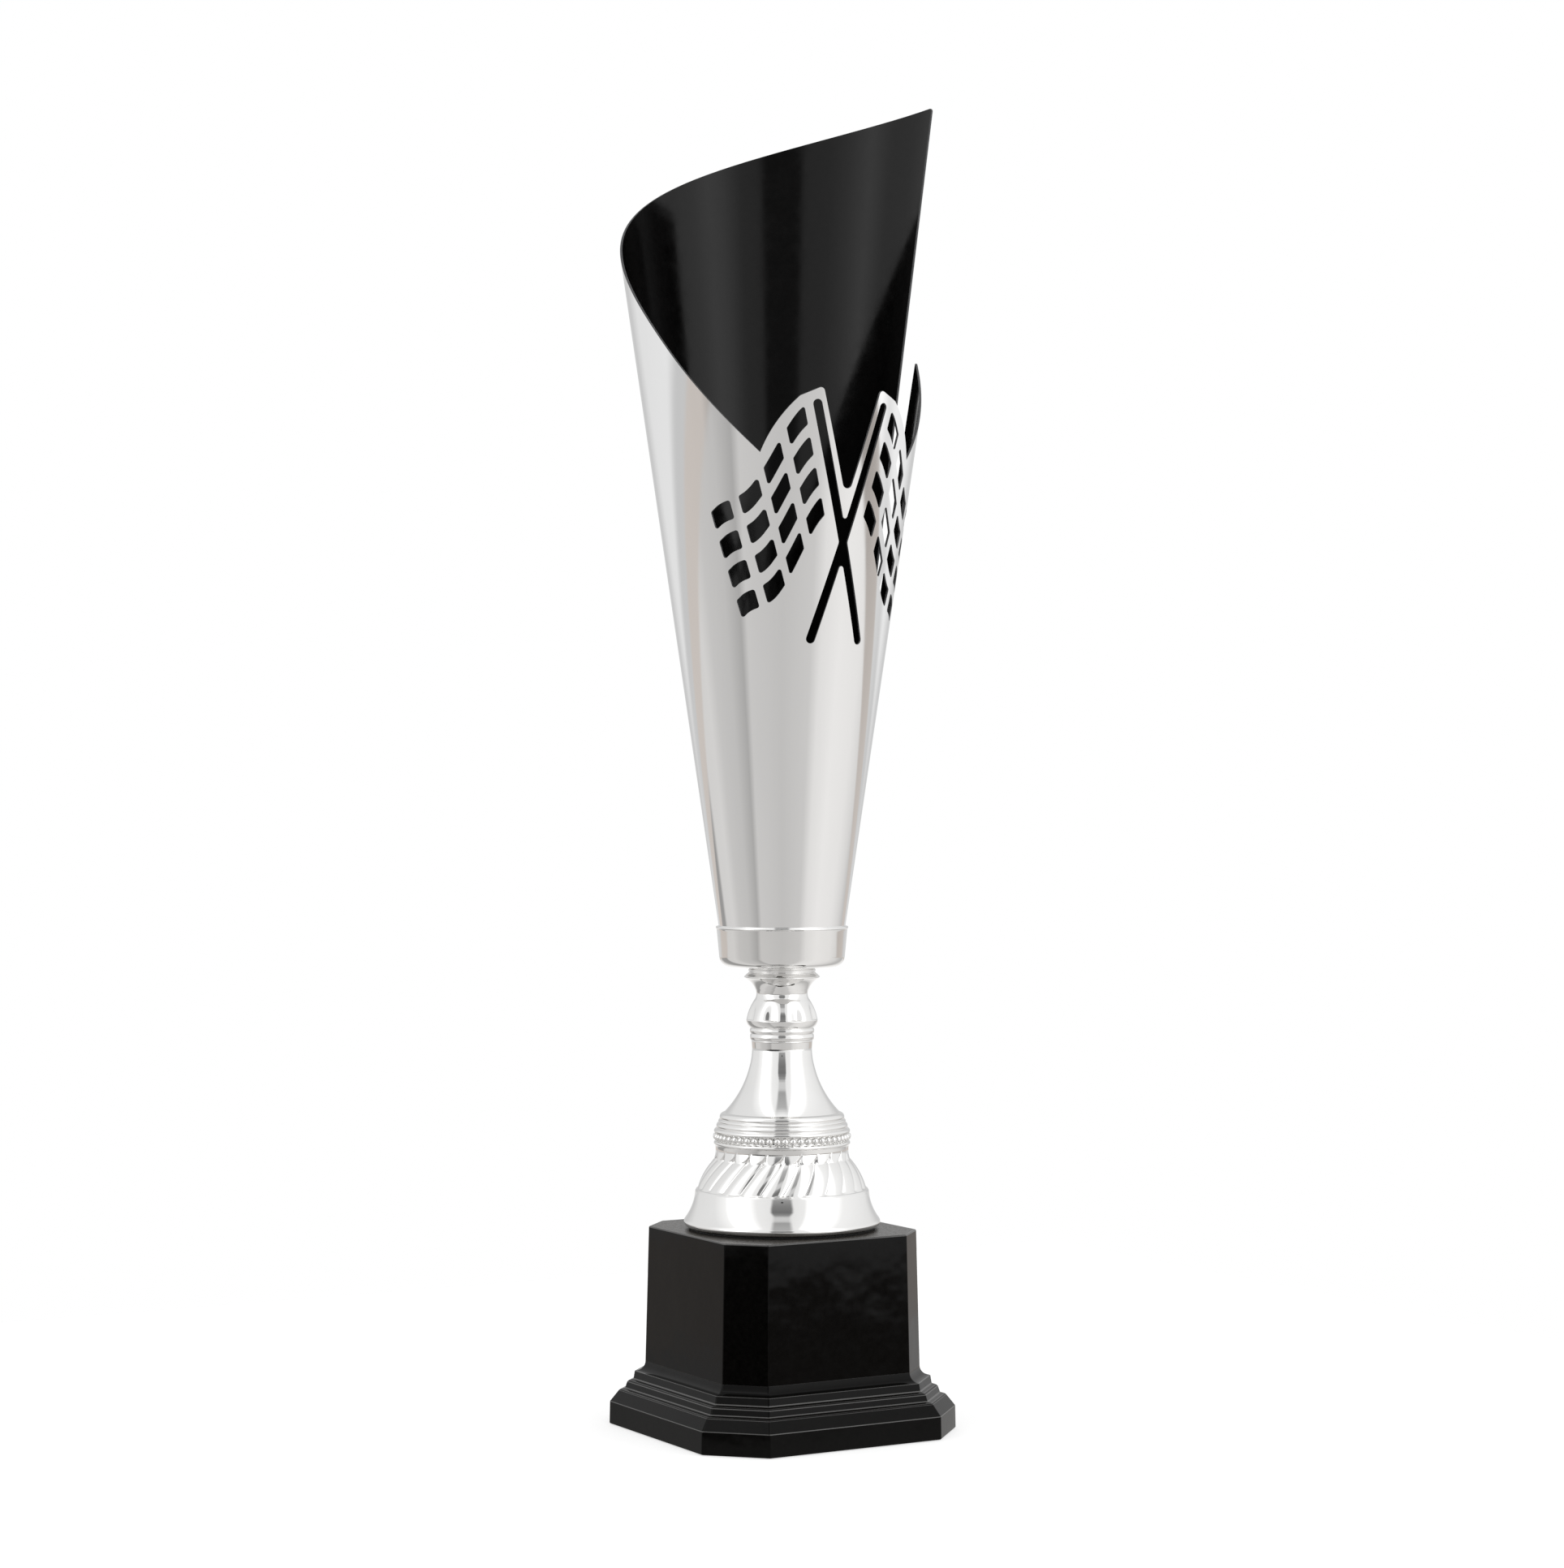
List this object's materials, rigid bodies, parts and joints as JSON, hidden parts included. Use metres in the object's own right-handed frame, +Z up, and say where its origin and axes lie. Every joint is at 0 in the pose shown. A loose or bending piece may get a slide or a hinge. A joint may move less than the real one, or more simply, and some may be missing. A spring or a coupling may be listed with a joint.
{
  "type": "trophy cup",
  "caption": "Award cup: open rolled sheet cone with crossed chequered flag cut-outs and a sweeping rim, on a beaded bright riser and a stepped black plinth.",
  "frame": {"origin": "middle of the plinth's underside, on the tie rod's axis", "axes": "+Z up along the tie rod; -Y is the front, where the crossed flags face"},
  "size_m": [0.1129, 0.107, 0.45],
  "materials": {
    "plinth_black": "moulded gloss black",
    "weight_steel": "plain rolled steel plate",
    "pad_felt": "black felt",
    "zinc_steel": "bright zinc plate",
    "gasket_foam": "matt black foam",
    "bright_moulding": "mirror silver metallised moulding",
    "cone_bright": "polished silver outside, gloss black inside",
    "disc_black": "moulded satin black"
  },
  "bodies": {
    "root": {"base_shell": "plinth_black", "ballast_plate": "weight_steel", "bottom_pad": "pad_felt", "tie_rod": "zinc_steel", "bottom_washer": "zinc_steel", "bottom_lock_washer": "zinc_steel", "bottom_nut": "zinc_steel", "riser_gasket": "gasket_foam", "riser_bell": "bright_moulding", "riser_knob": "bright_moulding", "cup_collar": "bright_moulding", "cone_sheet": "cone_bright", "clamp_disc": "disc_black", "top_washer": "zinc_steel", "top_lock_washer": "zinc_steel", "top_nut": "zinc_steel"}
  },
  "joints": []
}
